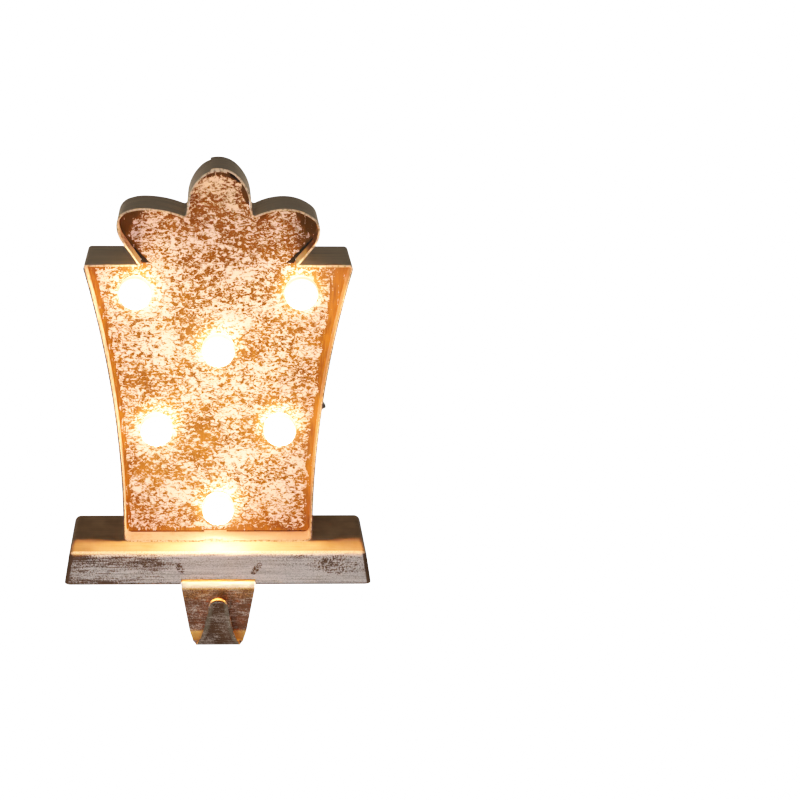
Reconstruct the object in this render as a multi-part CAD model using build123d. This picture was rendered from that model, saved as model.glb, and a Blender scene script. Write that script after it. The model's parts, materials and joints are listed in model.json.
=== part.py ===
from build123d import *
import math
import os

# Mantel stocking holder: a lit sheet-metal gift box with a bow, on a weighted base with a hook.
# Millimetres. X to the right, Y to the back, Z up. Z = 0 is the mantel top under the base.

# Base: pressed pan, casting inside it, pad under it
base_width = 140.0          # across the foot of the pan
base_depth = 48.0
base_height = 15.2          # mantel top to the top of the pan
base_draft = 9.5            # lean of every wall, degrees
base_corner = 3.0           # radius of the four leaning corners
base_edge = 2.8             # radius along the top edges
least_round = 0.5           # smallest radius inside the pan
base_sheet = 1.0
rim_lift = 0.2              # pan rim above the mantel, so that the pad carries the load
pad_thickness = 0.8
pad_margin = 1.2            # pad edge to the inside of the pan
fill_gap = 0.2              # between the casting and the pan

# Hook: one bent strip
hook_sheet = 1.5
hook_top_width = 33.4
hook_curl_width = 26.4      # where the back plate ends and the strip curls forward
hook_foot_width = 20.6      # at the lowest point
hook_stand_off = 2.0        # foot of the pan to the back plate
hook_bend = 1.7             # inside radius where the strip turns down
hook_gap = 8.0              # between the back plate and the tongue
hook_drop = 26.0            # mantel top to the lowest point
hook_clear = 0.25           # around the strip in the pan and the casting
tang_length = 26.0          # inside the pan
tongue_lean = 5.0           # degrees, away from the back plate
tongue_top = -0.3           # height of the tip, from the mantel top
tongue_tip = 4.3            # radius of the tip
tongue_waist = 6.7          # half width part of the way up
tongue_waist_height = 9.0   # above the lowest point

# Marquee box: bands bent edgeways round a face plate that is set back in them
band_sheet = 0.8
band_front = 11.25          # top front edge of the pan to the front of the bands
body_depth = 32.5
bow_depth = 24.5
body_foot_half = 43.4
body_foot_corner = 3.6
flare_start = 10.0          # the sides run straight up to here, then curve outwards
shoulder_half = 59.2
shoulder_height = 131.8     # above the base
shoulder_corner = 1.8
lap_length = 7.0            # each half of a band runs on over the other by about this
lap_hold = 3.0              # stretch where the upper strip is joined to its own band
lap_gap = 0.3               # between the ends of two strips
lap_clear = 0.05            # between two strips that lie on each other
body_seam = 3.9             # right of the middle, where the left strip ends
bow_seam = -3.4             # left of the middle, where the right strip ends

# Bow, heights above the shoulders
lobe_foot = 34.8
lobe_half = 44.0
left_lobe_widest = 17.2
right_lobe_widest = 15.4
lobe_curl = 12.0            # radius below the widest point
left_lobe_top_x = 32.4
right_lobe_top_x = 29.0
lobe_top = 25.1
lobe_round = 20.0           # radius at the top
notch_x = 13.9
notch_height = 21.2
notch_radius = 1.2
crown_half = 13.5
crown_widest = 25.0
crown_top = 41.8
crown_round = 11.0          # radius at the top

# Face plate
plate_sheet = 0.8
plate_inset = 9.35          # front of the bands to the front of the plate
plate_gap = 0.1             # between the plate and the bands

# Lamps, heights above the base or below the shoulders
top_lamp_inset = 22.8       # from the shoulders
top_lamp_drop = 13.2
middle_lamp_height = 92.2
low_lamp_inset = 15.6       # from the foot of the sides
low_lamp_height = 54.5
bottom_lamp_height = 15.6
globe_radius = 7.4
globe_wall = 1.0
neck_radius = 4.6
neck_clear = 0.05
spigot_length = 2.0
flange_radius = 5.6
flange_thickness = 1.6
barrel_radius = 3.9
barrel_length = 5.4         # behind the plate
hole_clear = 0.1
snap_ring = 0.7             # stands out of the barrel behind the plate
snap_width = 1.2
led_radius = 2.5
led_flange = 2.9
led_flange_thickness = 1.0
led_reach = 8.0             # plate front to the tip
led_clear = 0.05
lead_width = 0.5
lead_pitch = 2.54
lead_length = 9.0           # behind the plate

# Battery case on the back of the plate, between the middle and bottom lamps
cell_radius = 7.1
cell_length = 49.2          # without the nub
nub_radius = 2.7
nub_height = 1.2
cell_clear = 0.25
case_wall = 1.6
case_floor = 1.2
case_divider = 0.8
case_corner = 2.0
contact_sheet = 0.4
spring_length = 5.0
spring_wire = 0.35
spring_turns = 3.0
tape_thickness = 1.0
tape_margin = 2.0
lid_thickness = 1.4
lid_clear = 0.15
rail_depth = 0.8            # lid edge in the side walls
rail_lip = 1.0
grip_height = 0.6
grip_width = 1.2
grip_pitch = 2.6
grip_count = 4

# Slide switch in the right wall
switch_height = 60.5        # above the base
switch_setback = 6.5        # behind the plate
switch_length = 12.0
switch_width = 5.6
switch_thickness = 4.8
knob_length = 4.2
knob_width = 3.4
knob_out = 1.7              # crest outside the wall
knob_crest = 0.8            # crest above the lower end
knob_low = 0.3              # upper end outside the wall
knob_shoe = 1.2             # how far the shoe inside runs past the stem
shoe_thickness = 1.4
switch_travel = 3.0
switch_clear = 0.1
slot_clear = 0.3
pin_width = 1.2
pin_thickness = 0.5
pin_length = 3.0
pin_pitch = 3.0

# Places that follow from the sizes
draft_run = math.tan(math.radians(base_draft)) * (base_height - rim_lift)
front_y = -base_depth / 2 + draft_run + band_front
plate_front_y = front_y + plate_inset
plate_back_y = plate_front_y + plate_sheet
top_lamp_x = shoulder_half - top_lamp_inset
low_lamp_x = body_foot_half - low_lamp_inset
lamp_places = [
    (-top_lamp_x, shoulder_height - top_lamp_drop),
    (top_lamp_x, shoulder_height - top_lamp_drop),
    (0, middle_lamp_height),
    (-low_lamp_x, low_lamp_height),
    (low_lamp_x, low_lamp_height),
    (0, bottom_lamp_height),
]

os.makedirs("parts", exist_ok=True)


def save(name, shape):
    shape.label = name
    export_step(shape, f"parts/{name}.step")


def slab(sketch, y, depth):
    """Extrude an upright outline, drawn above the base top, backwards from y."""
    plane = Plane((0, y + depth, base_height), x_dir=(1, 0, 0), z_dir=(0, -1, 0))
    return extrude(plane * sketch, amount=depth)


def block(x_from, x_to, height_from, height_to):
    """Rectangle between two widths and two heights above the base top."""
    centre = Pos((x_from + x_to) / 2, (height_from + height_to) / 2)
    return centre * Rectangle(x_to - x_from, height_to - height_from)


# Base
def pan_block(inset, z_from, z_to):
    """Solid inside the pan's outer walls, moved in by inset, with the pan's draft."""
    lean = math.tan(math.radians(base_draft))
    shrink = inset + lean * (z_from - rim_lift)
    foot = Rectangle(base_width - 2 * shrink, base_depth - 2 * shrink)
    solid = extrude(Pos(0, 0, z_from) * foot, amount=z_to - z_from, taper=base_draft)
    leaning = solid.edges().filter_by(lambda edge: abs((edge % 0).Z) > 0.5)
    solid = fillet(leaning, max(base_corner - inset, 2 * least_round))
    top = solid.faces().sort_by(Axis.Z)[-1]
    return fillet(top.edges(), max(base_edge - inset, least_round))


def tang_room(y_from, y_to):
    """Room for the strip where it lies in the base, from below the rim."""
    height = pad_thickness + hook_sheet + hook_clear
    width = hook_top_width + 2 * hook_clear
    return Pos(0, (y_from + y_to) / 2, height / 2) * Box(width, y_to - y_from, height)


def make_base():
    tang_end = tang_length - base_depth / 2 + hook_clear
    room = tang_room(-base_depth, tang_end)
    shell = pan_block(0, rim_lift, base_height)
    shell -= pan_block(base_sheet, rim_lift, base_height - base_sheet)
    shell -= room
    inset = base_sheet + fill_gap
    weight = pan_block(inset, pad_thickness, base_height - inset)
    weight -= room
    shrink = 2 * (base_sheet + pad_margin)
    pad = extrude(RectangleRounded(base_width - shrink, base_depth - shrink, base_corner), pad_thickness)
    return shell, weight, pad


# Hook
def make_hook():
    plate_y = -base_depth / 2 - hook_stand_off - hook_sheet / 2
    tang_z = pad_thickness + hook_sheet / 2
    bend = hook_bend + hook_sheet / 2
    curl = (hook_gap + hook_sheet) / 2
    curl_z = curl + hook_sheet / 2 - hook_drop
    tang = Line((tang_length - base_depth / 2, tang_z), (plate_y + bend, tang_z))
    turn = JernArc(tang @ 1, tang % 1, bend, 90)
    back = Line(turn @ 1, (plate_y, curl_z))
    round_end = JernArc(back @ 1, back % 1, curl, tongue_lean - 180)
    rise = (tongue_top - (round_end @ 1).Y) / math.cos(math.radians(tongue_lean))
    tongue = PolarLine(round_end @ 1, rise, direction=round_end % 1)
    profile = trace(tang + turn + back + round_end + tongue, line_width=hook_sheet)
    strip = extrude(Plane.YZ * profile, amount=hook_top_width / 2, both=True)

    tang_top = pad_thickness + 2 * hook_sheet
    top = (hook_top_width / 2, 0)
    bend_end = (hook_curl_width / 2, curl_z)
    foot = (hook_foot_width / 2, -hook_drop)
    side = Line(top, bend_end)
    plate_half = make_face(
        Line((0, tang_top), (top[0], tang_top))
        + Line((top[0], tang_top), top)
        + side
        + Spline(bend_end, foot, tangents=[side % 1, (-1, -1)])
        + Line(foot, (0, -hook_drop))
        + Line((0, -hook_drop), (0, tang_top)))
    plate_outline = plate_half + mirror(plate_half, about=Plane.YZ)
    waist = (tongue_waist, tongue_waist_height - hook_drop)
    shoulder = (tongue_tip, tongue_top - tongue_tip)
    flank = Spline(foot, waist, shoulder, tangents=[(-0.6, 1), (-0.15, 1)])
    tip = RadiusArc(shoulder, (-tongue_tip, shoulder[1]), -tongue_tip)
    other = mirror(flank, about=Plane.YZ)
    tongue_outline = make_face(flank + tip + other + Line((-foot[0], -hook_drop), foot))

    split_y = plate_y - curl
    reach = base_depth
    back_room = extrude(Plane((0, split_y + reach, 0), (1, 0, 0), (0, -1, 0)) * plate_outline, reach)
    front_room = extrude(Plane((0, split_y, 0), (1, 0, 0), (0, -1, 0)) * tongue_outline, reach)
    return strip & (back_room + front_room)


# Marquee box
def oval_quarter(centre, half, rise, top_radius):
    """Quarter of an oval, two tangent arcs from its side to its top."""
    side_radius = (half ** 2 + rise ** 2 - 2 * rise * top_radius) / (2 * (half - top_radius))
    share = top_radius / (side_radius - top_radius)
    meet = (share * (side_radius - half), rise - top_radius + share * (rise - top_radius))
    lower = TangentArc((half, 0), meet, tangent=(0, 1))
    upper = TangentArc(meet, (0, rise), tangent=lower % 1)
    return Pos(*centre) * (lower + upper)


def lobe_flank(lobe_widest):
    """Straight lower end of a lobe, from the shoulder to where it touches the lobe's curl."""
    foot = Vector(lobe_foot, shoulder_height)
    centre = Vector(lobe_half - lobe_curl, shoulder_height + lobe_widest)
    reach = foot - centre
    angle = math.atan2(reach.Y, reach.X) + math.acos(lobe_curl / reach.length)
    touch = centre + lobe_curl * Vector(math.cos(angle), math.sin(angle))
    return Line(foot, touch)


def box_outline(lobe_widest, lobe_top_x, lift):
    """Outside of the bands seen from the front, both halves alike: body, shoulders and three-lobed bow.
    The crown lies outside its own sizes by lift."""
    s = shoulder_height
    foot = (body_foot_half, 0)
    flare = (body_foot_half, flare_start)
    shoulder = (shoulder_half, s)
    notch = (notch_x + lift, s + notch_height)
    crown_side = (crown_half + lift, s + crown_widest)
    crown_rise = crown_top - crown_widest + lift
    flank = lobe_flank(lobe_widest)
    half = make_face(
        Line((0, 0), foot)
        + Line(foot, flare)
        + TangentArc(flare, shoulder, tangent=(0, 1))
        + Line(shoulder, flank @ 0)
        + flank
        + TangentArc((lobe_half, s + lobe_widest), flank @ 1, tangent=(0, -1))
        + oval_quarter((lobe_top_x, s + lobe_widest), lobe_half - lobe_top_x, lobe_top - lobe_widest, lobe_round)
        + TangentArc((lobe_top_x, s + lobe_top), notch, tangent=(-1, 0))
        + Line(notch, crown_side)
        + oval_quarter((0, s + crown_widest), crown_half + lift, crown_rise, crown_round + lift)
        + Line((0, s + crown_widest + crown_rise), (0, 0)))
    outline = half + mirror(half, about=Plane.YZ)
    rounds = ((foot, body_foot_corner), (shoulder, shoulder_corner), (notch, notch_radius))
    for place, radius in rounds:
        corners = [v for v in outline.vertices() if math.dist((abs(v.X), v.Y), place) < 0.01]
        outline = fillet(corners, radius)
    return outline


def make_bands(left_outline, right_outline):
    """Body and bow bands in left and right halves, with the laps that join them."""
    left_ring = left_outline - offset(left_outline, amount=-band_sheet)
    right_ring = right_outline - offset(right_outline, amount=-band_sheet)
    top = shoulder_height + crown_top + 2 * band_sheet + lap_clear
    lower = (-band_sheet, shoulder_height)
    upper = (shoulder_height, top)

    split = body_seam - lap_length
    body_right = right_ring & block(split, shoulder_half, *lower)
    body_left = left_ring & block(-shoulder_half, split - lap_gap, *lower)
    body_left += block(split - lap_gap - lap_hold, body_seam, band_sheet, 2 * band_sheet)

    bow_left = left_ring & block(-shoulder_half, bow_seam + lap_length, *upper)
    bow_right = right_ring & block(bow_seam, shoulder_half, *upper)
    return (slab(body_left, front_y, body_depth), slab(body_right, front_y, body_depth),
            slab(bow_left, front_y, bow_depth), slab(bow_right, front_y, bow_depth))


def make_plate(left_outline, right_outline):
    inset = band_sheet + plate_gap
    split = bow_seam + lap_length + plate_gap
    top = shoulder_height + crown_top
    sheet = offset(left_outline, amount=-inset) & block(-shoulder_half, split, 0, top)
    sheet += offset(right_outline, amount=-inset) & block(split, shoulder_half, 0, top)
    lap_start = body_seam - lap_length - lap_gap - lap_hold
    sheet -= block(lap_start - plate_gap, body_seam + plate_gap, 0, 2 * band_sheet + plate_gap)
    for x, height in lamp_places:
        sheet -= Pos(x, height) * Circle(barrel_radius + hole_clear)
    return slab(sheet, plate_front_y, plate_sheet)


# Lamps, drawn with z = 0 on the plate's front and z towards the viewer
def lamp_plane(x, height):
    return Plane((x, plate_front_y, base_height + height), x_dir=(1, 0, 0), z_dir=(0, -1, 0))


def rod(radius, z_from, z_to):
    return Pos(0, 0, (z_from + z_to) / 2) * Cylinder(radius, z_to - z_from)


def make_globe():
    neck = neck_radius + neck_clear
    rim = neck + globe_wall / 2
    centre = flange_thickness + math.sqrt(globe_radius ** 2 - rim ** 2)
    ball = Pos(0, 0, centre) * (Sphere(globe_radius) - Sphere(globe_radius - globe_wall))
    ball -= rod(globe_radius, centre - 2 * globe_radius, flange_thickness + neck_clear)
    return ball - rod(neck, 0, centre)


def make_lamp_holder():
    back = -plate_sheet - barrel_length
    ring_front = -plate_sheet - hole_clear
    holder = rod(flange_radius, 0, flange_thickness)
    holder += rod(neck_radius, flange_thickness, flange_thickness + spigot_length)
    holder += rod(barrel_radius, back, 0)
    holder += rod(barrel_radius + snap_ring, ring_front - snap_width, ring_front)
    holder -= rod(led_radius + led_clear, back, flange_thickness + spigot_length)
    return holder - rod(led_flange + led_clear, back, -plate_sheet)


def make_led():
    seat = -plate_sheet
    straight = led_reach - led_radius
    led = rod(led_radius, seat, straight) + Pos(0, 0, straight) * Sphere(led_radius)
    led += rod(led_flange, seat - led_flange_thickness, seat)
    tail = lead_length + plate_sheet
    for side in (-1, 1):
        led += Pos(side * lead_pitch / 2, 0, -tail / 2) * Box(lead_width, lead_width, tail)
    return led


# Battery case, heights from the middle of the case
bay_width = 2 * (cell_radius + cell_clear)
bay_length = cell_length + nub_height + spring_length + 2 * contact_sheet
case_width = 2 * bay_width + case_divider + 2 * case_wall
case_length = bay_length + 2 * case_wall
case_middle = (middle_lamp_height + bottom_lamp_height) / 2
tape_y = plate_back_y
case_y = tape_y + tape_thickness
bay_y = case_y + case_floor
lid_y = bay_y + bay_width
cell_y = bay_y + bay_width / 2
bay_x = (bay_width + case_divider) / 2
lid_width = case_width - 2 * (case_wall - rail_depth + lid_clear)


def on_case(sketch):
    return Pos(0, case_middle) * sketch


def make_case():
    depth = case_floor + bay_width + lid_thickness + lid_clear + rail_lip
    case = slab(on_case(RectangleRounded(case_width, case_length, case_corner)), case_y, depth)
    for side in (-1, 1):
        bay = Pos(side * bay_x, 0) * Rectangle(bay_width, bay_length)
        case -= slab(on_case(bay), bay_y, bay_width)
    above = depth - case_floor - bay_width
    slot_height = case_length - case_wall
    slot = Pos(0, case_wall / 2) * Rectangle(case_width - 2 * (case_wall - rail_depth), slot_height)
    case -= slab(on_case(slot), lid_y, above - rail_lip)
    mouth = Pos(0, case_wall / 2) * Rectangle(case_width - 2 * case_wall, slot_height)
    case -= slab(on_case(mouth), lid_y, above)
    tape = Rectangle(case_width - 2 * tape_margin, case_length - 2 * tape_margin)
    return case, slab(on_case(tape), tape_y, tape_thickness)


def make_lid():
    length = case_length - case_wall - lid_clear
    middle = (case_wall + lid_clear) / 2
    lid = slab(on_case(Pos(0, middle) * Rectangle(lid_width, length)), lid_y + lid_clear / 2, lid_thickness)
    grip_y = lid_y + lid_clear / 2 + lid_thickness
    for i in range(grip_count):
        height = case_length / 2 - case_wall - grip_pitch * (i + 1)
        grip = Pos(0, height) * Rectangle(bay_width, grip_width)
        lid += slab(on_case(grip), grip_y, grip_height)
    return lid


def cell_shape():
    """A cell standing on its flat end at the origin, nub up."""
    return rod(cell_radius, 0, cell_length) + rod(nub_radius, cell_length, cell_length + nub_height)


def spring_shape():
    """A cone of wire that rises from the origin."""
    top_radius = nub_radius
    foot_radius = cell_radius - 2 * spring_wire
    lean = math.degrees(math.atan((top_radius - foot_radius) / spring_length))
    height = spring_length - 3 * spring_wire
    path = Helix(height / spring_turns, height, foot_radius, cone_angle=lean)
    wire = Plane(path @ 0, z_dir=path % 0) * Circle(spring_wire)
    return Pos(0, 0, spring_wire / 2) * sweep(wire, path)


def make_cells():
    """Cells in the bays: the left one has its nub up, the right one has it down."""
    half = bay_length / 2 - contact_sheet
    middle = base_height + case_middle
    left = Pos(-bay_x, cell_y, middle + half - nub_height - cell_length) * cell_shape()
    turned = Rot(180, 0, 0) * cell_shape()
    right = Pos(bay_x, cell_y, middle - half + nub_height + cell_length) * turned
    return left, right


def make_contacts():
    """One strip across the lower end and two single ones at the upper end, with coil springs."""
    half = bay_length / 2
    middle = base_height + case_middle
    width = bay_width - 2 * cell_clear
    leaf = Box(width, width, contact_sheet)
    low = middle - half + contact_sheet / 2
    high = middle + half - contact_sheet / 2
    spring = spring_shape()
    low_left = Pos(-bay_x, cell_y, low) * leaf + Pos(-bay_x, cell_y, low + contact_sheet / 2) * spring
    low_right = Pos(bay_x, cell_y, low) * leaf
    high_left = Pos(-bay_x, cell_y, high) * leaf
    turned = Rot(180, 0, 0) * spring
    high_right = Pos(bay_x, cell_y, high) * leaf + Pos(bay_x, cell_y, high - contact_sheet / 2) * turned
    return low_left, low_right, high_left, high_right


# Switch, drawn with z = 0 on the outside of the right wall and x up along the wall
def switch_plane():
    run = shoulder_half - body_foot_half
    rise = shoulder_height - flare_start
    radius = (run ** 2 + rise ** 2) / (2 * run)
    lean = math.asin((switch_height - flare_start) / radius)
    x = body_foot_half + radius * (1 - math.cos(lean))
    place = (x, plate_back_y + switch_setback, base_height + switch_height)
    return Plane(place, x_dir=(math.sin(lean), 0, math.cos(lean)), z_dir=(math.cos(lean), 0, -math.sin(lean)))


def switch_slot():
    length = knob_length + switch_travel + 2 * slot_clear
    width = knob_width + 2 * slot_clear
    return switch_plane() * (Pos(switch_travel / 2, 0, 0) * Box(length, width, 4 * band_sheet))


def make_switch():
    front = -band_sheet - switch_clear
    shoe_front = front - shoe_thickness / 2
    shoe_back = shoe_front - shoe_thickness
    shoe_length = knob_length + 2 * knob_shoe
    shift = Pos(switch_travel / 2, 0, 0)
    body = shift * Pos(0, 0, front - switch_thickness / 2) * Box(switch_length, switch_width, switch_thickness)
    stem_slot = Box(knob_length + switch_travel + 2 * switch_clear, knob_width + 2 * switch_clear,
                    2 * shoe_thickness)
    body -= shift * Pos(0, 0, front) * stem_slot
    room = Box(shoe_length + switch_travel + 2 * switch_clear, knob_width + 2 * switch_clear,
               shoe_thickness + 2 * switch_clear)
    body -= shift * Pos(0, 0, (shoe_front + shoe_back) / 2) * room
    for i in (-1, 0, 1):
        pin = Box(pin_thickness, pin_width, pin_length)
        body += shift * Pos(i * pin_pitch, 0, front - switch_thickness - pin_length / 2) * pin
    shoe = Pos(0, 0, (shoe_front + shoe_back) / 2) * Box(shoe_length, knob_width, shoe_thickness)
    stem = extrude(Pos(0, 0, shoe_front) * Rectangle(knob_length, knob_width), amount=-shoe_front)
    half = knob_length / 2
    side_view = make_face(
        Polyline((-half, 0), (knob_crest - half, knob_out), (half, knob_low), (half, 0), close=True))
    cap = extrude(Plane.XZ * side_view, amount=knob_width / 2, both=True)
    knob = shoe + stem + cap
    return switch_plane() * body, switch_plane() * knob


shell, weight, pad = make_base()
save("base_shell", shell)
save("base_weight", weight)
save("base_pad", pad)
save("hook", make_hook())

left_outline = box_outline(left_lobe_widest, left_lobe_top_x, 0)
right_outline = box_outline(right_lobe_widest, right_lobe_top_x, band_sheet + lap_clear)
body_left, body_right, bow_left, bow_right = make_bands(left_outline, right_outline)
save("body_band_left", body_left)
save("body_band_right", body_right - switch_slot())
save("bow_band_left", bow_left)
save("bow_band_right", bow_right)
save("face_plate", make_plate(left_outline, right_outline))

globe = make_globe()
holder = make_lamp_holder()
led = make_led()
for i, place in enumerate(lamp_places, start=1):
    save(f"lamp_globe_{i}", lamp_plane(*place) * globe)
    save(f"lamp_holder_{i}", lamp_plane(*place) * holder)
    save(f"lamp_led_{i}", lamp_plane(*place) * led)

case, tape = make_case()
save("battery_case", case)
save("case_tape", tape)
save("battery_lid", make_lid())
for side, cell in zip(("left", "right"), make_cells()):
    save(f"cell_{side}", cell)
for place, contact in zip(("low_left", "low_right", "high_left", "high_right"), make_contacts()):
    save(f"contact_{place}", contact)

switch_body, switch_knob = make_switch()
save("switch_body", switch_body)
save("switch_knob", switch_knob)
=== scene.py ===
import json
import math
import bmesh
import bpy
from mathutils import Matrix, Vector


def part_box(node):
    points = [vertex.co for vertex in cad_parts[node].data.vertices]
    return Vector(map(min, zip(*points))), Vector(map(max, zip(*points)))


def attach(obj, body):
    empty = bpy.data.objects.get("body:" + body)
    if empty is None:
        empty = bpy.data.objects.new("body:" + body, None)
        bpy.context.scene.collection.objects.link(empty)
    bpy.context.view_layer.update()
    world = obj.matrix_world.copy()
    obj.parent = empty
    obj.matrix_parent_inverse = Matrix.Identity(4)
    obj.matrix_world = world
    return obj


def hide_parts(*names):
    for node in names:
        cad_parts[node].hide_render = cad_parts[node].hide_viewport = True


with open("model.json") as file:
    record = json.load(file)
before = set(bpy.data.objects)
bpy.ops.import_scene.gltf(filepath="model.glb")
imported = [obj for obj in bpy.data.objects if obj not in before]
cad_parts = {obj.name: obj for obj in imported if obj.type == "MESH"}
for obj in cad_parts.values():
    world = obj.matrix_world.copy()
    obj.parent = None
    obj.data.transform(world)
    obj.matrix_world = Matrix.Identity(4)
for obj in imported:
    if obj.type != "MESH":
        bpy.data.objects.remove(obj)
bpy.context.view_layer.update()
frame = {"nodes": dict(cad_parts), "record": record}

# Mantel stocking holder: finishes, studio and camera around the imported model.
# Metres, in the model's frame. Sizes inside the finishes are in millimetres.


def colour(red, green, blue):
    return (red, green, blue, 1.0)


# Camera
CAMERA_PLACE = (-0.00284, -0.72228, 0.34384)
CAMERA_PITCH = math.radians(20.0)
CAMERA_TURN = math.radians(1.76)
CAMERA_LENS = 76.28
CAMERA_SENSOR = 36.0
CAMERA_SHIFT = 0.17
CAMERA_NEAR = 0.05
CAMERA_FAR = 50.0

# Shelf and surroundings
SHELF_EDGE = -0.0249
SHELF_ROUND = 0.0005
SHELF_ROUND_STEPS = 6
SHELF_REACH = 5.0
SHELF_DROP = 1.5
SHELF_DARK = colour(0.20, 0.20, 0.20)
SHELF_LIGHT = colour(0.22, 0.22, 0.22)
WHITE = colour(1.0, 1.0, 1.0)
BACKDROP_SEEN = 2.5
FLOOR_LIGHT = 0.20
FLOOR_LIGHT_BEHIND = 2.6
WORLD_LIGHT = 0.08

# Area lights: name, place, target, width, height, power, tint
LIGHTS = (
    ("overhead", (0.0, -0.1, 1.6), (0.0, 0.0, 0.0), 1.6, 1.2, 2.4, (1.0, 0.99, 0.98)),
    ("front_fill", (-0.35, -1.6, 0.18), (0.0, 0.0, 0.03), 1.0, 0.4, 15.0, (1.0, 1.0, 1.0)),
)

# Film: brightness shown for each brightness of the scene, white from WHITE_LEVEL
WHITE_LEVEL = 2.5
FILM = ((0.1, 0.1), (0.4, 0.385), (0.8, 0.64), (1.2, 0.82), (1.6, 0.925), (2.0, 0.98))
GLOW = {"Threshold": 4.0, "Clamp": True, "Maximum": 9.0, "Strength": 0.10, "Size": 0.12}

# Switch knob, along the wall and out of it from the point where it crosses the wall's outside
KNOB_WALL = (0.04608, 0.0757)
KNOB_PROFILE = (
    (-0.0021, -0.0016),
    (-0.0021, 0.0001),
    (0.0003, 0.0034),
    (0.0021, 0.0019),
    (0.0021, -0.0016),
)
KNOB_BEVEL = 0.00025
KNOB_BEVEL_STEPS = 3

# Lamps: the strength of each part is a multiple of LAMP_STRENGTH
LAMPS = range(1, 7)
LAMP_COLOUR = colour(1.0, 0.58, 0.30)
LAMP_STRENGTH = 45.0
LAMP_SIDE = 0.045
LAMP_FRONT = 1.0
LAMP_BEAM = 15.5
LAMP_COLLAR = 1.3
LAMP_SKIRT = 0.5

# Places read from the model
BASE_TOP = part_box("base_shell")[1].z
BODY_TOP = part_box("body_band_left")[1].z
PLATE_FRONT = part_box("face_plate")[0].y
HOOK_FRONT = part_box("hook")[0].y
BODY_MIDDLE = (BASE_TOP + BODY_TOP) / 2
BOW_LIFT = 0.010
BOW_MIDDLE = BODY_TOP + BOW_LIFT
MM = 1000.0

# Body in the finishes, in millimetres: heights over the base, widths from the middle
SHOULDER = (BODY_TOP - BASE_TOP) * MM
BODY_FOOT_HALF = 42.6
FLARE_FROM = 10.0
FLARE_RISE = 121.8
FLARE_OUT = 15.8
PLATE_FLOOR = 0.8
SHOULDER_BARE = 1.6

# Necks between the body and the bow: half width and top. They start NECK_DEPTH under the shoulder
NECK_DEPTH = 30.0
NECKS = ((34.0, SHOULDER + 4.0), (24.0, SHOULDER + 20.5))

# Slanted lower wall of a lobe: where it starts, and the direction square to it
FOOT_START = 34.8
FOOT_UP = 0.634
FOOT_OUT = 0.773

# Ovals on the plate: centre from the middle, height over the base, half width, half height
LOBE_OVAL = (29.0, SHOULDER + 13.0, 14.3, 11.4)
CROWN_OVAL = (0.0, SHOULDER + 22.5, 13.0, 18.4)
CROWN_LIP = (0.0, SHOULDER + 19.0, 13.0, 18.4)

# Soft spots: x, z, half width, half height
SHOULDER_Z = BASE_TOP * MM + SHOULDER
# PLATE_SHADE is painted shade, where less lamp light reaches the plate
PLATE_SHADE = (3.0, SHOULDER_Z - 8.0, 34.0, 34.0)
PLATE_THIN = (28.0, BASE_TOP * MM + 24.0, 22.0, 30.0)
CROWN_BARE = (13.5, SHOULDER_Z + 31.0, 4.6, 8.5)
BASE_WASHED = (0.0, 7.0, 30.0, 20.0)

# Spots on the base's front where the wash is stippled away: x, z, half sizes, lean, depth
STIPPLED = (
    (-17.2, 7.4, 2.2, 3.4, -0.4, 0.17),
    (17.4, 7.4, 2.4, 3.6, 0.6, 0.24),
    (57.0, 9.5, 19.0, 6.0, 0.0, 0.16),
)

# Tongue of the hook: depth from its front, height of its tip, and how it widens downwards
TONGUE_DEPTH = 4.5
TONGUE_TIP = -4.6
TONGUE_REACH = 21.4
TONGUE_TIP_HALF = 4.3
TONGUE_WIDENING = 6.0
TONGUE_FLARE = 1.9

# Colours of the face plate and of the bands
RUST_DARK = colour(0.088, 0.032, 0.0055)
RUST_LIGHT = colour(0.252, 0.094, 0.0178)
CHALK = colour(0.85, 0.615, 0.555)
# Painted light: chalk on the crown, lighter and warmer for the lamp light there
CHALK_CROWN_LIT = colour(1.0, 0.73, 0.51)
CHALK_THIN = colour(0.60, 0.38, 0.27)
BARE_BOW = colour(0.052, 0.023, 0.0035)
BARE_BODY = colour(0.300, 0.108, 0.0160)
# Painted shade: near black for the shade in the gaps between the plate and the bands
GAP_SHADE = colour(0.003, 0.002, 0.001)
BAND_DARK = colour(0.57, 0.41, 0.255)
BAND_LIGHT = colour(0.88, 0.67, 0.44)
BAND_PATCH = colour(0.72, 0.54, 0.34)
STEEL_DULL = colour(0.24, 0.15, 0.08)
STEEL_WORN = colour(0.95, 0.64, 0.40)
# Painted light: lamp light on the bands' inner walls that look up, in the body's tray and at the
# lobes
TRAY_WALL_LIT = colour(0.41, 0.205, 0.135)
LOBE_WALL_LIT = colour(1.0, 0.72, 0.32)
RIM_LINE = colour(0.050, 0.034, 0.020)

# Colours of the base
BRONZE_DARK = colour(0.090, 0.042, 0.022)
BRONZE_LIGHT = colour(0.170, 0.086, 0.047)
# Painted light: the top's coat, lighter than the front's for the light that falls on the top
LIT_TOP_DARK = colour(0.305, 0.162, 0.074)
LIT_TOP_LIGHT = colour(0.545, 0.312, 0.155)
# Worn front edge of the top, also a painted highlight of the lamps along it
EDGE_WORN_HIGHLIGHT = colour(0.95, 0.68, 0.44)
WASH_DARK = colour(0.42, 0.33, 0.29)
WASH_LIGHT = colour(0.92, 0.79, 0.73)
IRON_DARK = colour(0.035, 0.033, 0.032)
IRON_LIGHT = colour(0.09, 0.085, 0.08)

# Colours of the hook
HOOK_DARK = colour(0.130, 0.046, 0.019)
HOOK_LIGHT = colour(0.280, 0.112, 0.050)
HOOK_WASH_DARK = colour(0.40, 0.28, 0.21)
HOOK_WASH_LIGHT = colour(0.84, 0.66, 0.55)
HOOK_WORN_BROWN = colour(0.40, 0.145, 0.032)
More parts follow.
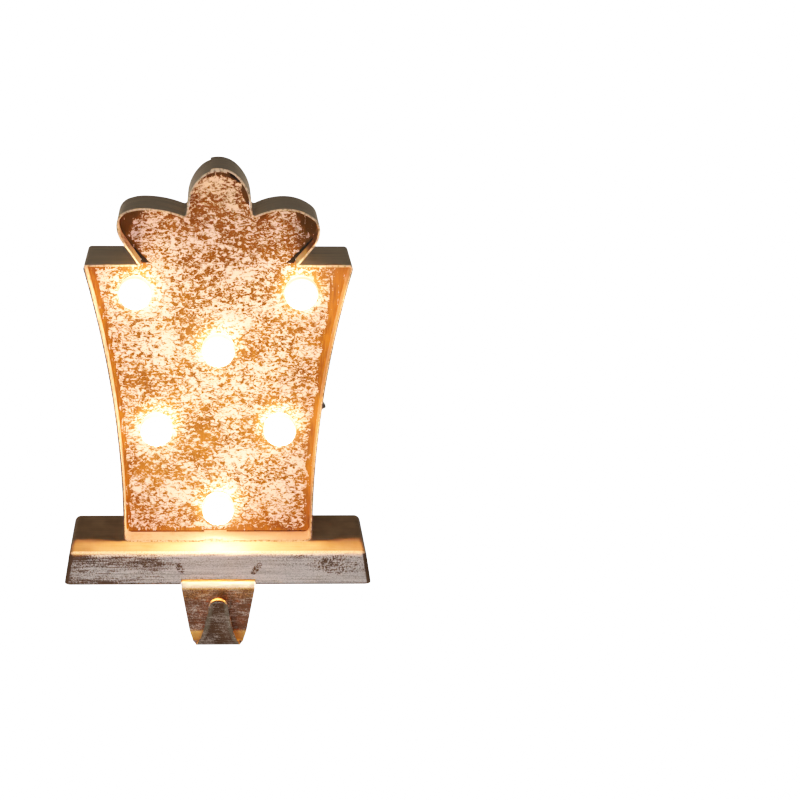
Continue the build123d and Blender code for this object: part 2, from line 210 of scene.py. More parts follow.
# Worn gold where the hook looks up, also painted lamp light on those faces
HOOK_WORN_GOLD_LIT = colour(1.0, 0.46, 0.11)
# Painted highlight along the hook's bend
HOOK_BEND_HIGHLIGHT = colour(1.0, 0.92, 0.73)
# Painted shade: the tongue's coat is darker than the hook's, as its front leans downwards
TONGUE_SHADED_DARK = colour(0.068, 0.026, 0.0098)
TONGUE_SHADED_LIGHT = colour(0.160, 0.076, 0.036)
TONGUE_EDGE = colour(0.210, 0.160, 0.105)

# Colours of the lamps' covers, the cells and the contacts
GLOBE_DARK = colour(0.86, 0.84, 0.78)
GLOBE_LIGHT = colour(0.92, 0.90, 0.86)
CELL_DARK = colour(0.30, 0.31, 0.33)
CELL_LIGHT = colour(0.45, 0.46, 0.48)
NICKEL_DARK = colour(0.52, 0.50, 0.46)
NICKEL_LIGHT = colour(0.68, 0.66, 0.62)
SWITCH_DARK = colour(0.012, 0.012, 0.012)
SWITCH_LIGHT = colour(0.025, 0.025, 0.025)
SWITCH_ROUGH = 0.42

# Moulded plastics and foams: nodes, material, darker and lighter shade, roughness
MOULDED = (
    (["base_pad"], "base_pad_foam",
     colour(0.03, 0.03, 0.03), colour(0.05, 0.05, 0.05), 0.85),
    ([f"lamp_holder_{i}" for i in LAMPS], "lamp_holder_plastic",
     colour(0.62, 0.60, 0.56), colour(0.72, 0.70, 0.66), 0.5),
    ([f"lamp_led_{i}" for i in LAMPS], "led_resin",
     colour(0.80, 0.66, 0.30), colour(0.86, 0.74, 0.40), 0.25),
    (["battery_case"], "battery_case_plastic",
     colour(0.018, 0.018, 0.018), colour(0.03, 0.03, 0.03), 0.5),
    (["battery_lid"], "battery_lid_plastic",
     colour(0.02, 0.02, 0.02), colour(0.034, 0.034, 0.034), 0.45),
    (["case_tape"], "case_tape_foam",
     colour(0.66, 0.65, 0.62), colour(0.76, 0.75, 0.72), 0.85),
)
CONTACTS = [f"contact_{place}" for place in ("low_left", "low_right", "high_left", "high_right")]


class Paint:
    """A material's node tree, with one short call for each kind of node that the finishes use."""

    def __init__(self, name):
        self.material = bpy.data.materials.new(name)
        self.material.use_nodes = True
        self.tree = self.material.node_tree
        self.tree.nodes.clear()
        output = self.add("ShaderNodeOutputMaterial")
        self.shader = self.add("ShaderNodeBsdfPrincipled")
        self.tree.links.new(self.shader.outputs["BSDF"], output.inputs["Surface"])
        place = self.add("ShaderNodeTexCoord").outputs["Object"]
        self.point = self.scaled(place, (MM, MM, MM))
        self.x, self.y, self.z = self.split(self.point)
        self.normal = self.add("ShaderNodeTexCoord").outputs["Normal"]
        self.nx, self.ny, self.nz = self.split(self.normal)

    def add(self, kind, **settings):
        node = self.tree.nodes.new(kind)
        for key, value in settings.items():
            setattr(node, key, value)
        return node

    def put(self, socket, value):
        """Link another node's output to a socket, or set the socket to a constant."""
        if isinstance(value, bpy.types.NodeSocket):
            self.tree.links.new(value, socket)
        else:
            socket.default_value = value

    def split(self, vector):
        node = self.add("ShaderNodeSeparateXYZ")
        self.put(node.inputs[0], vector)
        return node.outputs

    def scaled(self, vector, scale):
        node = self.add("ShaderNodeVectorMath", operation="MULTIPLY")
        self.put(node.inputs[0], vector)
        self.put(node.inputs[1], scale)
        return node.outputs[0]

    def math(self, operation, *values):
        node = self.add("ShaderNodeMath", operation=operation)
        for socket, value in zip(node.inputs, values):
            self.put(socket, value)
        return node.outputs[0]

    def chain(self, operation, values):
        """Join any number of values by one operation, from the left."""
        result = values[0]
        for value in values[1:]:
            result = self.math(operation, result, value)
        return result

    def plus(self, *values):
        return self.chain("ADD", values)

    def times(self, *values):
        return self.chain("MULTIPLY", values)

    def most(self, *values):
        return self.chain("MAXIMUM", values)

    def least(self, *values):
        return self.chain("MINIMUM", values)

    def minus(self, first, second):
        return self.math("SUBTRACT", first, second)

    def over(self, first, second):
        return self.math("DIVIDE", first, second)

    def size(self, value):
        """Value without its sign."""
        return self.math("ABSOLUTE", value)

    def inverse(self, share):
        """1 less share."""
        return self.math("SUBTRACT", 1.0, share)

    def below(self, value, limit):
        """1 where value is under limit, 0 elsewhere."""
        return self.math("LESS_THAN", value, limit)

    def beyond(self, value, limit):
        """1 where value is over limit, 0 elsewhere."""
        return self.math("GREATER_THAN", value, limit)

    def noise(self, scale, detail=4.0, rough=0.55, twist=0.0, seed=0.0):
        """Cloudy noise from 0 to 1. scale is in cells per millimetre along X, Y and Z."""
        node = self.add("ShaderNodeTexNoise", noise_dimensions="4D")
        self.put(node.inputs["Vector"], self.scaled(self.point, scale))
        self.put(node.inputs["W"], seed)
        self.put(node.inputs["Scale"], 1.0)
        self.put(node.inputs["Detail"], detail)
        self.put(node.inputs["Roughness"], rough)
        self.put(node.inputs["Distortion"], twist)
        return node.outputs["Fac"]

    def step(self, value, start, end):
        """0 up to start and 1 from end on, with a smooth change between. end may be the lower one."""
        node = self.add("ShaderNodeMapRange", interpolation_type="SMOOTHSTEP")
        for name, setting in (("Value", value), ("From Min", start), ("From Max", end)):
            self.put(node.inputs[name], setting)
        return node.outputs["Result"]

    def between(self, value, rise, fall):
        """1 between two limits. It comes over the range rise and goes over the range fall."""
        return self.minus(self.step(value, *rise), self.step(value, *fall))

    def spread(self, value, low, high):
        """Map 0..1 to low..high."""
        node = self.add("ShaderNodeMapRange")
        for name, setting in (("Value", value), ("To Min", low), ("To Max", high)):
            self.put(node.inputs[name], setting)
        return node.outputs["Result"]

    def mix(self, share, first, second):
        """Colour between first, at share 0, and second, at share 1."""
        node = self.add("ShaderNodeMix", data_type="RGBA")
        colours = [socket for socket in node.inputs if socket.type == "RGBA"]
        self.put(node.inputs["Factor"], share)
        self.put(colours[0], first)
        self.put(colours[1], second)
        return [socket for socket in node.outputs if socket.type == "RGBA"][0]

    def blend(self, share, first, second):
        """Number between first, at share 0, and second, at share 1."""
        node = self.add("ShaderNodeMix", data_type="FLOAT")
        for name, setting in (("Factor", share), ("A", first), ("B", second)):
            self.put(node.inputs[name], setting)
        return node.outputs["Result"]

    def bump(self, height, strength, distance):
        """Relief of the surface. distance is the relief's depth in millimetres."""
        node = self.add("ShaderNodeBump")
        self.put(node.inputs["Strength"], strength)
        self.put(node.inputs["Distance"], distance / MM)
        self.put(node.inputs["Height"], height)
        self.put(self.shader.inputs["Normal"], node.outputs["Normal"])

    def finish(self, **sockets):
        """Set the shader's sockets, with _ for each space in their names, and give the material."""
        for name, value in sockets.items():
            self.put(self.shader.inputs[name.replace("_", " ")], value)
        return self.material


# Zones that the finishes share
def coat(paint, lines, dark, light):
    """Base coat, mottled and with the given brush lines."""
    cloud = paint.noise((0.08, 0.08, 0.08), detail=3.0, seed=3.0)
    share = paint.plus(paint.times(cloud, 0.6), paint.times(lines, 0.4))
    return paint.mix(paint.step(share, 0.30, 0.70), dark, light)


def blot(paint, x, z, half_x, half_z, slant=0.0):
    """1 in the middle of a soft upright spot, 0 outside it. slant leans its top towards +x."""
    up = paint.minus(paint.z, z)
    along = paint.minus(paint.minus(paint.x, x), paint.times(up, slant))
    dx = paint.over(along, half_x)
    dz = paint.over(up, half_z)
    reach = paint.plus(paint.times(dx, dx), paint.times(dz, dz))
    return paint.inverse(paint.step(reach, 0.2, 1.0))


def oval(paint, across, height, centre, middle, half, rise):
    """Distance in millimetres inside an upright oval, negative outside it."""
    dx = paint.over(paint.minus(across, centre), half)
    dz = paint.over(paint.minus(height, middle), rise)
    reach = paint.math("SQRT", paint.plus(paint.times(dx, dx), paint.times(dz, dz)))
    return paint.times(paint.inverse(reach), min(half, rise))


def body_side(paint, across, height):
    """Distance in millimetres inside the flared side walls of the body."""
    flare = paint.most(paint.minus(height, FLARE_FROM), 0.0)
    bulge = paint.times(paint.times(flare, flare), FLARE_OUT / FLARE_RISE ** 2)
    return paint.minus(paint.plus(bulge, BODY_FOOT_HALF), across)


def body_edge(paint, across, height, bare):
    """Distance in millimetres inside the body, less bare at its sides, and its necks to the bow."""
    side = paint.minus(body_side(paint, across, height), bare)
    floor = paint.minus(height, PLATE_FLOOR)
    edge = paint.least(side, floor, paint.minus(SHOULDER - SHOULDER_BARE, height))
    above = paint.minus(height, SHOULDER - NECK_DEPTH)
    for half, top in NECKS:
        neck = paint.least(paint.minus(half, across), paint.minus(top, height), above)
        edge = paint.most(edge, neck)
    return edge


def foot_side(paint, across, rise):
    """Distance in millimetres inside the slanted lower wall of a lobe."""
    run = paint.minus(across, FOOT_START)
    return paint.minus(paint.times(rise, FOOT_UP), paint.times(run, FOOT_OUT))


def foot_gap_shade(paint, across, rise, wander):
    """1 in the painted shade of the gap between the plate and the lower end of a lobe's band."""
    inside = paint.plus(foot_side(paint, across, rise), paint.spread(wander, -0.6, 0.6))
    width = paint.minus(2.7, paint.times(rise, 0.15))
    gap_shade = paint.times(paint.below(inside, width), paint.beyond(inside, 0.3))
    ends = paint.times(paint.beyond(rise, -1.6), paint.below(rise, 11.0))
    return paint.times(gap_shade, ends)


# Face plate
def plate_edge(paint, across, height, rise):
    """Distance in millimetres inside the zone that the chalk covers."""
    # The bare rim is narrow on the body and wide at the lobes' ends
    flank = paint.times(paint.step(height, SHOULDER - 70.0, SHOULDER - 5.0),
                        paint.spread(paint.step(paint.x, -50.0, 50.0), 1.0, 3.4))
    body = body_edge(paint, across, height, flank)
    lobe_end = paint.times(paint.step(paint.x, -44.0, 44.0), 1.5)
    lobe_end = paint.times(paint.step(across, 30.0, 41.0), paint.plus(lobe_end, 2.5))
    lobe = paint.minus(oval(paint, across, height, *LOBE_OVAL), lobe_end)
    # On the crown it is only on the top and the right side
    crown_top = paint.times(paint.step(rise, 32.0, 39.0), -7.8)
    crown_side = paint.times(blot(paint, *CROWN_BARE), -8.5)
    crown = paint.plus(oval(paint, across, height, *CROWN_OVAL), 5.5)
    crown = paint.plus(crown, paint.plus(crown_top, crown_side))
    foot = paint.least(paint.minus(foot_side(paint, across, rise), 1.2),
                       paint.minus(13.0, rise),
                       paint.plus(rise, 4.0))
    return paint.most(body, lobe, crown, foot)


def plate_gap_shade(paint, across, height, rise, strokes):
    """1 in the painted shade of the gaps: at the lobes' feet, right of the crown, along the plate's
    foot.
    """
    lip = oval(paint, across, height, *CROWN_LIP)
    crown = paint.times(paint.below(lip, -0.9), paint.step(rise, 34.0, 35.0))
    crown = paint.times(crown, paint.beyond(paint.x, 5.0))
    foot = paint.below(height, paint.spread(strokes, 0.9, 1.9))
    return paint.most(foot_gap_shade(paint, across, rise, strokes), crown, foot)


def plate_coat(paint, rise, strokes, bare, gap_shade):
    """Rusty base coat with painted shade at the bow; bare rim lighter on the body than on the bow."""
    lines = paint.noise((1.6, 0.1, 0.06), detail=3.0, seed=1.0)
    # Painted shade: the coat darkens towards RUST_DARK under and in the bow
    shade = paint.times(blot(paint, *PLATE_SHADE), 0.55)
    shade = paint.most(shade, paint.spread(paint.step(rise, -4.0, 10.0), 0.0, 0.45))
    base = paint.mix(shade, coat(paint, lines, RUST_DARK, RUST_LIGHT), RUST_DARK)
    bare_body = paint.times(bare, paint.step(rise, -2.0, -8.0))
    base = paint.mix(paint.times(bare_body, paint.step(strokes, 0.36, 0.58)), base, BARE_BODY)
    bare_bow = paint.times(bare, paint.step(rise, -2.0, 8.0))
    base = paint.mix(paint.times(bare_bow, 0.8), base, BARE_BOW)
    # Painted shade in the gaps between the plate and the bands
    return paint.mix(gap_shade, base, GAP_SHADE)


def plate_paint():
    """Face plate: chalky paint dabbed over a rusty base coat, bare along the rim and behind."""
    paint = Paint("face_plate_paint")
    height = paint.minus(paint.z, BASE_TOP * MM)
    rise = paint.minus(height, SHOULDER)
    across = paint.size(paint.x)
    dabs = paint.noise((0.48, 0.48, 0.80), detail=8.0, rough=0.74, twist=0.9, seed=4.0)
    cover = paint.noise((0.05, 0.05, 0.07), detail=2.0, seed=9.0)
    strokes = paint.noise((1.2, 0.3, 0.14), detail=4.0, seed=6.0)
    blobs = paint.noise((0.15, 0.15, 0.15), detail=4.0, rough=0.65, seed=16.0)
    wander = paint.plus(paint.spread(strokes, -3.0, 3.0), paint.spread(blobs, -4.5, 4.5))
    rim = paint.step(paint.plus(plate_edge(paint, across, height, rise), wander), 0.6, 2.6)
    bare = paint.inverse(rim)
    # Amount of chalk: a little less on the crown, on the right of the bow and low on the right
    level = paint.plus(dabs, paint.spread(cover, -0.15, 0.15))
    level = paint.plus(level, paint.spread(paint.step(rise, 20.0, 28.0), 0.0, -0.004))
    lean = paint.times(paint.step(rise, 0.0, 8.0), paint.times(paint.x, -0.0005))
    level = paint.plus(level, lean)
    level = paint.minus(level, paint.times(blot(paint, *PLATE_THIN), 0.012))
    level = paint.plus(level, paint.spread(rim, -0.32, 0.0))
    streak = paint.times(paint.step(strokes, 0.56, 0.64), bare)
    level = paint.plus(level, paint.times(streak, 0.30))
    front = paint.beyond(paint.times(paint.ny, -1.0), 0.5)
    # Painted shade in the gaps between the plate and the bands, on the front only
    gap_shade = paint.times(plate_gap_shade(paint, across, height, rise, strokes), front)
    chalk = paint.times(paint.step(level, 0.497, 0.511), front)
    chalk = paint.times(chalk, paint.inverse(gap_shade))
    # Thick chalk, with painted light making it lighter and warmer towards the crown
    thick_chalk_crown_lit = paint.mix(paint.step(rise, 14.0, 28.0), CHALK, CHALK_CROWN_LIT)
    tint = paint.mix(paint.step(level, 0.49, 0.58), CHALK_THIN, thick_chalk_crown_lit)
    paint.bump(chalk, 0.35, 0.15)
    return paint.finish(
        Base_Color=paint.mix(chalk, plate_coat(paint, rise, strokes, bare, gap_shade), tint),
        Roughness=paint.blend(chalk, 0.60, 0.80),
        Specular_IOR_Level=0.08)


# Bands
def band_outside(paint, lines):
    """Grey-brown brushed coat with paler patches."""
    patches = paint.noise((0.05, 0.05, 0.05), detail=3.0, seed=8.0)
    brushed = paint.mix(paint.step(lines, 0.3, 0.7), BAND_DARK, BAND_LIGHT)
    return paint.mix(paint.step(patches, 0.45, 0.75), brushed, BAND_PATCH)


def band_inside(paint, lines, lit_wall_colour):
    """Rust coat flecked before the plate; painted lamp light in the given colour where it looks up.
    """
    flecks = paint.noise((0.35, 0.5, 0.35), detail=5.0, rough=0.65, seed=5.0)
    before_plate = paint.below(paint.y, PLATE_FRONT * MM)
    dusty = paint.plus(flecks, paint.spread(paint.step(paint.x, -20.0, 20.0), 0.16, 0.0))
    dusty = paint.times(paint.step(dusty, 0.57, 0.68), before_plate)
    inside = paint.mix(dusty, coat(paint, lines, RUST_DARK, RUST_LIGHT), CHALK_THIN)
    # Painted light: inner walls that look up, before the plate and low down, take the lit colour
    lit_wall = paint.times(paint.step(paint.nz, 0.25, 0.55), before_plate)
    lit_wall = paint.times(lit_wall, paint.spread(flecks, 0.75, 0.95))
    above = paint.minus(paint.z, BODY_TOP * MM)
    lit_wall = paint.times(lit_wall, paint.inverse(paint.step(above, 1.0, 8.0)))
    return paint.mix(lit_wall, inside, lit_wall_colour)


def band_rim(paint, lined):
    """Bare worn steel of the front rim. lined draws a dark line along the body's outer edge."""
    grain = paint.noise((0.9, 0.9, 0.9), detail=4.0, rough=0.6, seed=7.0)
    worn = paint.mix(paint.step(grain, 0.36, 0.56), STEEL_DULL, STEEL_WORN)
    if not lined:
        return worn
    inset = body_side(paint, paint.size(paint.x), paint.minus(paint.z, BASE_TOP * MM))
    inset = paint.minus(inset, paint.spread(paint.step(paint.x, -40.0, 40.0), 0.20, 0.05))
    line = paint.inverse(paint.step(inset, -0.60, -0.35))
    return paint.mix(line, worn, RIM_LINE)


def band_paint(name, middle_height, lit_wall_colour, lined):
    """Bands: brushed outside, base coat inside with painted lamp light, worn bright on the front rim.
    """
    paint = Paint(name)
    lines = paint.noise((0.035, 2.2, 0.035), detail=4.0, rough=0.6, seed=2.0)
    rise = paint.minus(paint.z, middle_height * MM)
    facing = paint.plus(paint.times(paint.nx, paint.x), paint.times(paint.nz, rise))
    outer = paint.beyond(facing, -1.0)
    wall = paint.mix(outer, band_inside(paint, lines, lit_wall_colour), band_outside(paint, lines))
    rim = paint.beyond(paint.times(paint.ny, -1.0), 0.7)
    paint.bump(lines, 0.12, 0.1)
    return paint.finish(
        Base_Color=paint.mix(rim, wall, band_rim(paint, lined)),
        Roughness=paint.spread(lines, 0.45, 0.62),
        Metallic=paint.times(paint.inverse(rim), paint.times(outer, 0.8)))


# Base
def base_wash(paint, streaks, speck):
    """Amount of wash: more to the right and above the hook, less in the stippled spots."""
    cover = paint.noise((0.03, 0.05, 0.12), detail=3.0, seed=12.0)
    stipple = paint.noise((1.1, 1.1, 1.1), detail=4.0, rough=0.7, seed=15.0)
    level = paint.plus(paint.times(streaks, 0.50), paint.times(cover, 0.40), paint.times(speck, 0.50))
    for x, z, half_x, half_z, lean, depth in STIPPLED:
        spot = blot(paint, x, z, half_x, half_z, lean)
        spot = paint.times(spot, paint.step(stipple, 0.40, 0.55))
        level = paint.minus(level, paint.times(spot, depth))
    level = paint.plus(level, paint.math("MULTIPLY_ADD", paint.x, 0.0014, 0.015))
    return paint.plus(level, paint.times(blot(paint, *BASE_WASHED), 0.065))


def base_paint():
    """Base: brown with painted light on top, and a grey-white wash dragged sideways over the front.
    """
    paint = Paint("base_shell_paint")
    lines = paint.noise((0.035, 1.3, 1.3), detail=5.0, rough=0.68, seed=11.0)
    streaks = paint.noise((0.09, 2.0, 2.0), detail=4.0, rough=0.75, seed=14.0)
    speck = paint.noise((1.6, 2.2, 2.2), detail=3.0, rough=0.8, seed=13.0)
    level = base_wash(paint, streaks, speck)
    # Painted light: faces that look up take the lighter top coat
    upward = paint.step(paint.nz, 0.45, 0.80)
    base = paint.mix(upward,
                     coat(paint, lines, BRONZE_DARK, BRONZE_LIGHT),
                     coat(paint, lines, LIT_TOP_DARK, LIT_TOP_LIGHT))
    # Rounded front edge of the top: worn, and partly a painted highlight of the lamps
    edge = paint.times(paint.step(paint.times(paint.ny, -1.0), 0.25, 0.45), upward)
    edge = paint.times(edge, paint.step(speck, 0.30, 0.55))
    base = paint.mix(edge, base, EDGE_WORN_HIGHLIGHT)
    forward = paint.plus(paint.times(paint.ny, -1.0), paint.spread(speck, -0.2, 0.2))
    sideways = paint.step(paint.size(paint.nx), 0.25, 0.45)
    forward = paint.times(paint.step(forward, 0.6, 0.85), paint.inverse(sideways))
    # Painted shade: no wash on the lowest millimetre of the front, left dark for the shadow under the
    # base
    above_bottom_shade = paint.step(paint.z, 0.5, 1.0)
    wash = paint.times(paint.step(level, 0.63, 0.71), paint.times(forward, above_bottom_shade))
    tone = paint.plus(paint.times(speck, 0.5), paint.times(lines, 0.5))
    washed = paint.mix(paint.step(tone, 0.38, 0.60), WASH_DARK, WASH_LIGHT)
    paint.bump(level, 0.25, 0.12)
    return paint.finish(
        Base_Color=paint.mix(wash, base, washed),
        Roughness=paint.blend(wash, 0.55, 0.75),
        Specular_IOR_Level=0.12)


def cast_iron():
    """Rough casting inside the base."""
    paint = Paint("base_weight_cast")
    grain = paint.noise((0.8, 0.8, 0.8), detail=6.0, seed=50.0)
    paint.bump(grain, 0.5, 0.3)
    return paint.finish(
        Base_Color=paint.mix(grain, IRON_DARK, IRON_LIGHT),
        Roughness=paint.spread(grain, 0.6, 0.85),
        Metallic=0.4)


# Hook
def tongue_flank(paint, tongue, cover):
    """1 along the two edges of the tongue, which widens downwards."""
    down = paint.most(paint.over(paint.minus(TONGUE_TIP, paint.z), TONGUE_REACH), 0.0)
    flare = paint.math("POWER", down, TONGUE_FLARE)
    half = paint.math("MULTIPLY_ADD", flare, TONGUE_WIDENING, TONGUE_TIP_HALF)
    inset = paint.minus(half, paint.size(paint.x))
    inset = paint.plus(inset, paint.spread(cover, -1.0, 1.0))
    return paint.times(paint.inverse(paint.step(inset, 0.6, 2.2)), tongue)


def hook_paint():
    """Hook: brown, thin wash; worn gold plus painted lamp light where it looks up; painted highlight
    on bend.
    """
    paint = Paint("hook_paint")
    lines = paint.noise((0.06, 1.1, 1.0), detail=5.0, rough=0.68, twist=0.3, seed=21.0)
    cover = paint.noise((0.08, 0.08, 0.14), detail=3.0, seed=22.0)
    streaks = paint.noise((0.16, 1.2, 1.4), detail=5.0, rough=0.75, twist=0.6, seed=24.0)
    speck = paint.noise((1.6, 2.2, 2.2), detail=3.0, rough=0.8, seed=23.0)
    tongue = paint.below(paint.y, HOOK_FRONT * MM + TONGUE_DEPTH)
    behind = paint.inverse(tongue)
    level = paint.plus(paint.times(streaks, 0.60), paint.times(cover, 0.35), paint.times(speck, 0.45))
    wash = paint.times(paint.step(level, 0.69, 0.79), paint.blend(tongue, 0.9, 0.58))
    washed = paint.mix(paint.step(speck, 0.35, 0.65), HOOK_WASH_DARK, HOOK_WASH_LIGHT)
    # Painted shade: the tongue takes the darker coat
    base = paint.mix(tongue,
                     coat(paint, lines, HOOK_DARK, HOOK_LIGHT),
                     coat(paint, lines, TONGUE_SHADED_DARK, TONGUE_SHADED_LIGHT))
    base = paint.mix(paint.times(tongue_flank(paint, tongue, cover), 0.8), base, TONGUE_EDGE)
    painted = paint.mix(wash, base, washed)
    # Where the hook looks up: worn gold, and painted lamp light on those faces
    near_bend = paint.times(paint.step(paint.z, -9.0, -3.5), behind)
    upward = paint.plus(paint.nz, paint.times(near_bend, 0.16))
    upward = paint.minus(upward, paint.times(tongue, 0.45))
    worn = paint.step(paint.plus(upward, paint.spread(speck, -0.40, 0.40)), 0.05, 0.45)
    gold_worn_and_lit = paint.mix(paint.step(speck, 0.30, 0.46), HOOK_WORN_BROWN, HOOK_WORN_GOLD_LIT)
    # Painted highlight along the top of the bend
    bend_highlight = paint.step(paint.plus(paint.nz, paint.spread(speck, -0.45, 0.45)), 0.15, 0.55)
    bend_highlight = paint.minus(bend_highlight, paint.step(paint.nz, 0.93, 0.98))
    bend = paint.times(paint.step(paint.z, -9.0, -7.0), behind)
    gold_worn_and_lit = paint.mix(paint.times(bend_highlight, bend), gold_worn_and_lit, HOOK_BEND_HIGHLIGHT)
    paint.bump(paint.blend(worn, level, speck), 0.25, 0.12)
    return paint.finish(
        Base_Color=paint.mix(worn, painted, gold_worn_and_lit),
        Roughness=paint.blend(worn, 0.65, 0.38),
        Metallic=paint.times(worn, 0.12),
        Specular_IOR_Level=0.12)


# Lamps, plastics and plated parts
def globe_plastic():
    """Frosted lamp cover: bright in front, brightest in a ring, dim at its side, lit again behind."""
    paint = Paint("globe_frosted")
    frost = paint.noise((1.5, 1.5, 1.5), detail=3.0, seed=20.0)
    paint.bump(frost, 0.05, 0.05)
    forward = paint.times(paint.ny, -1.0)
    face = paint.spread(paint.step(forward, 0.30, 0.62), LAMP_SIDE, LAMP_FRONT)
    beam = paint.times(paint.between(forward, (0.44, 0.54), (0.64, 0.78)), LAMP_BEAM)
    collar = paint.times(paint.between(forward, (-0.92, -0.78), (-0.58, -0.42)), LAMP_COLLAR)
    skirt = paint.times(paint.between(forward, (-0.58, -0.42), (-0.20, -0.06)), LAMP_SKIRT)
    shine = paint.plus(face, paint.plus(beam, paint.plus(collar, skirt)))
    return paint.finish(
        Base_Color=paint.mix(frost, GLOBE_DARK, GLOBE_LIGHT),
        Roughness=paint.spread(frost, 0.35, 0.5),
        Emission_Color=LAMP_COLOUR,
        Emission_Strength=paint.times(shine, LAMP_STRENGTH))


def moulded(name, dark, light, rough):
    """Moulded plastic or foam with a fine grain."""
    paint = Paint(name)
    grain = paint.noise((2.2, 2.2, 2.2), detail=3.0, seed=30.0)
    cloud = paint.noise((0.12, 0.12, 0.12), detail=2.0, seed=31.0)
    paint.bump(grain, 0.15, 0.05)
    return paint.finish(
        Base_Color=paint.mix(cloud, dark, light),
        Roughness=paint.spread(grain, rough - 0.08, rough + 0.08))


def plated(name, dark, light):
    """Plated sheet with fine rolling lines."""
    paint = Paint(name)
    lines = paint.noise((0.2, 3.0, 3.0), detail=3.0, seed=40.0)
    return paint.finish(
        Base_Color=paint.mix(lines, dark, light),
        Roughness=paint.spread(lines, 0.22, 0.38),
        Metallic=1.0)


def dress(nodes, material):
    """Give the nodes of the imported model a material."""
    for name in nodes:
        for slot in frame["nodes"][name].material_slots:
            slot.material = material


def dress_all(switch_plastic):
    dress(["face_plate"], plate_paint())
    dress(["body_band_left", "body_band_right"],
          band_paint("body_band_paint", BODY_MIDDLE, TRAY_WALL_LIT, True))
    dress(["bow_band_left", "bow_band_right"],
          band_paint("bow_band_paint", BOW_MIDDLE, LOBE_WALL_LIT, False))
    dress(["base_shell"], base_paint())
    dress(["base_weight"], cast_iron())
    dress(["hook"], hook_paint())
    dress([f"lamp_globe_{i}" for i in LAMPS], globe_plastic())
    for nodes, name, dark, light, rough in MOULDED:
        dress(nodes, moulded(name, dark, light, rough))
    dress(["cell_left", "cell_right"], plated("cell_sleeve", CELL_DARK, CELL_LIGHT))
    dress(CONTACTS, plated("contact_nickel", NICKEL_DARK, NICKEL_LIGHT))
    dress(["switch_body", "switch_knob"], switch_plastic)


# Switch knob: a wedge with rounded edges, in the slot of the right wall
def make_knob(material):
    joints = frame["record"]["behaviour"]["joints"]
    slide = next(joint for joint in joints if joint["child"] == "switch_knob")
    up = Vector(slide["axis"])
    out = Vector((up.z, 0.0, -up.x))
    low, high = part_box("switch_knob")
    shape = bmesh.new()
    sides = []
    for y in (low.y, high.y):
        foot = Vector((KNOB_WALL[0], y, KNOB_WALL[1]))
        corners = [foot + up * along + out * away for along, away in KNOB_PROFILE]
        sides.append([shape.verts.new(corner) for corner in corners])
    shape.faces.new(sides[0])
    shape.faces.new(sides[1])
    for i in range(len(KNOB_PROFILE)):
        j = (i + 1) % len(KNOB_PROFILE)
        shape.faces.new((sides[0][i], sides[0][j], sides[1][j], sides[1][i]))
    bmesh.ops.recalc_face_normals(shape, faces=shape.faces)
    bmesh.ops.bevel(shape, geom=shape.edges[:], offset=KNOB_BEVEL,
                    segments=KNOB_BEVEL_STEPS, affect="EDGES")
    mesh = bpy.data.meshes.new("knob_wedge")
    shape.to_mesh(mesh)
    shape.free()
    mesh.materials.append(material)
    knob = bpy.data.objects.new("knob_wedge", mesh)
    bpy.context.scene.collection.objects.link(knob)
    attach(knob, "switch_knob")
    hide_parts("switch_knob")


# Stage: a shelf that looks white, with its front edge behind the hook
def shelf_section():
    """Points (y, z) of the shelf from far behind, over its rounded edge and down its front."""
    section = [(SHELF_REACH, 0.0)]
    for i in range(SHELF_ROUND_STEPS + 1):
        angle = math.radians(90 + 90 / SHELF_ROUND_STEPS * i)
        y = SHELF_EDGE + SHELF_ROUND * (1 + math.cos(angle))
        z = SHELF_ROUND * (math.sin(angle) - 1)
        section.append((y, z))
    section.append((SHELF_EDGE, -SHELF_DROP))
    return section


def shelf_paint():
    """Grey shelf that shines white, and lights the object most from both sides behind it."""
    paint = Paint("shelf_paint")
    cloud = paint.noise((0.01, 0.01, 0.01), detail=2.0, seed=60.0)
    seen = paint.add("ShaderNodeLightPath").outputs["Is Camera Ray"]
    aside = paint.over(paint.size(paint.x), paint.most(paint.y, 1.0))
    bright = paint.times(paint.step(paint.y, 30.0, 250.0), paint.step(aside, 0.4, 1.0))
    glow = paint.spread(bright, FLOOR_LIGHT, FLOOR_LIGHT_BEHIND)
    return paint.finish(
        Base_Color=paint.mix(cloud, SHELF_DARK, SHELF_LIGHT),
        Roughness=0.9,
        Emission_Color=WHITE,
        Emission_Strength=paint.blend(seen, glow, BACKDROP_SEEN))


def make_shelf():
    section = shelf_section()
    points = [(side * SHELF_REACH, y, z) for y, z in section for side in (-1, 1)]
    faces = [(2 * i, 2 * i + 1, 2 * i + 3, 2 * i + 2) for i in range(len(section) - 1)]
    mesh = bpy.data.meshes.new("shelf")
    mesh.from_pydata(points, [], faces)
    mesh.update()
    mesh.materials.append(shelf_paint())
    shelf = bpy.data.objects.new("shelf", mesh)
    bpy.context.scene.collection.objects.link(shelf)


# Light, camera and film
def add_light(name, place, target, width, height, power, tint):
    data = bpy.data.lights.new(name, "AREA")
    data.shape = "RECTANGLE"
    data.size = width
    data.size_y = height
    data.energy = power
    data.color = tint
    light = bpy.data.objects.new(name, data)
    light.location = place
    aim = Vector(target) - Vector(place)
    light.rotation_euler = aim.to_track_quat("-Z", "Y").to_euler()
    bpy.context.scene.collection.objects.link(light)


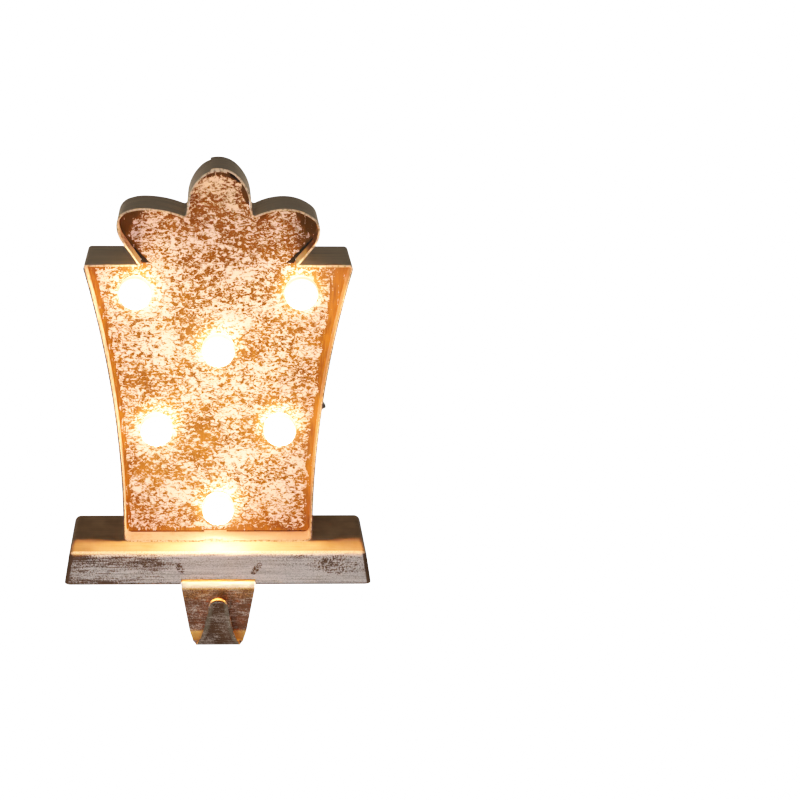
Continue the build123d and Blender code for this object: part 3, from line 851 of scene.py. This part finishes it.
def make_world():
    """Dim white light from all around, which looks bright white as a backdrop."""
    world = bpy.data.worlds.new("studio")
    bpy.context.scene.world = world
    world.use_nodes = True
    tree = world.node_tree
    background = tree.nodes["Background"]
    background.inputs["Color"].default_value = WHITE
    path = tree.nodes.new("ShaderNodeLightPath")
    strength = tree.nodes.new("ShaderNodeMapRange")
    strength.inputs["To Min"].default_value = WORLD_LIGHT
    strength.inputs["To Max"].default_value = BACKDROP_SEEN
    tree.links.new(path.outputs["Is Camera Ray"], strength.inputs["Value"])
    tree.links.new(strength.outputs["Result"], background.inputs["Strength"])


def make_camera():
    data = bpy.data.cameras.new("camera")
    data.sensor_width = CAMERA_SENSOR
    data.lens = CAMERA_LENS
    data.shift_x = CAMERA_SHIFT
    data.clip_start = CAMERA_NEAR
    data.clip_end = CAMERA_FAR
    camera = bpy.data.objects.new("camera", data)
    camera.location = CAMERA_PLACE
    tilt = Matrix.Rotation(math.pi / 2 - CAMERA_PITCH, 3, "X")
    turn = Matrix.Rotation(-CAMERA_TURN, 3, "Y")
    camera.rotation_euler = (tilt @ turn).to_euler()
    bpy.context.scene.collection.objects.link(camera)
    bpy.context.scene.camera = camera


def make_film():
    """Soft glow around the lamps, then a curve that bends brightness over to white."""
    scene = bpy.context.scene
    scene.view_settings.view_transform = "Standard"
    scene.use_nodes = True
    tree = scene.node_tree
    tree.nodes.clear()
    picture = tree.nodes.new("CompositorNodeRLayers")
    film = tree.nodes.new("CompositorNodeCurveRGB")
    film.inputs["White Level"].default_value = colour(WHITE_LEVEL, WHITE_LEVEL, WHITE_LEVEL)
    film.mapping.extend = "HORIZONTAL"
    all_channels = film.mapping.curves[3]
    for light, shown in FILM:
        all_channels.points.new(light / WHITE_LEVEL, shown)
    film.mapping.update()
    glow = tree.nodes.new("CompositorNodeGlare")
    glow.glare_type = "BLOOM"
    for name, value in GLOW.items():
        glow.inputs[name].default_value = value
    result = tree.nodes.new("CompositorNodeComposite")
    tree.links.new(picture.outputs["Image"], glow.inputs["Image"])
    tree.links.new(glow.outputs["Image"], film.inputs["Image"])
    tree.links.new(film.outputs["Image"], result.inputs["Image"])


switch_plastic = moulded("switch_plastic", SWITCH_DARK, SWITCH_LIGHT, SWITCH_ROUGH)
dress_all(switch_plastic)
make_knob(switch_plastic)
make_shelf()
for settings in LIGHTS:
    add_light(*settings)
make_world()
make_camera()
make_film()
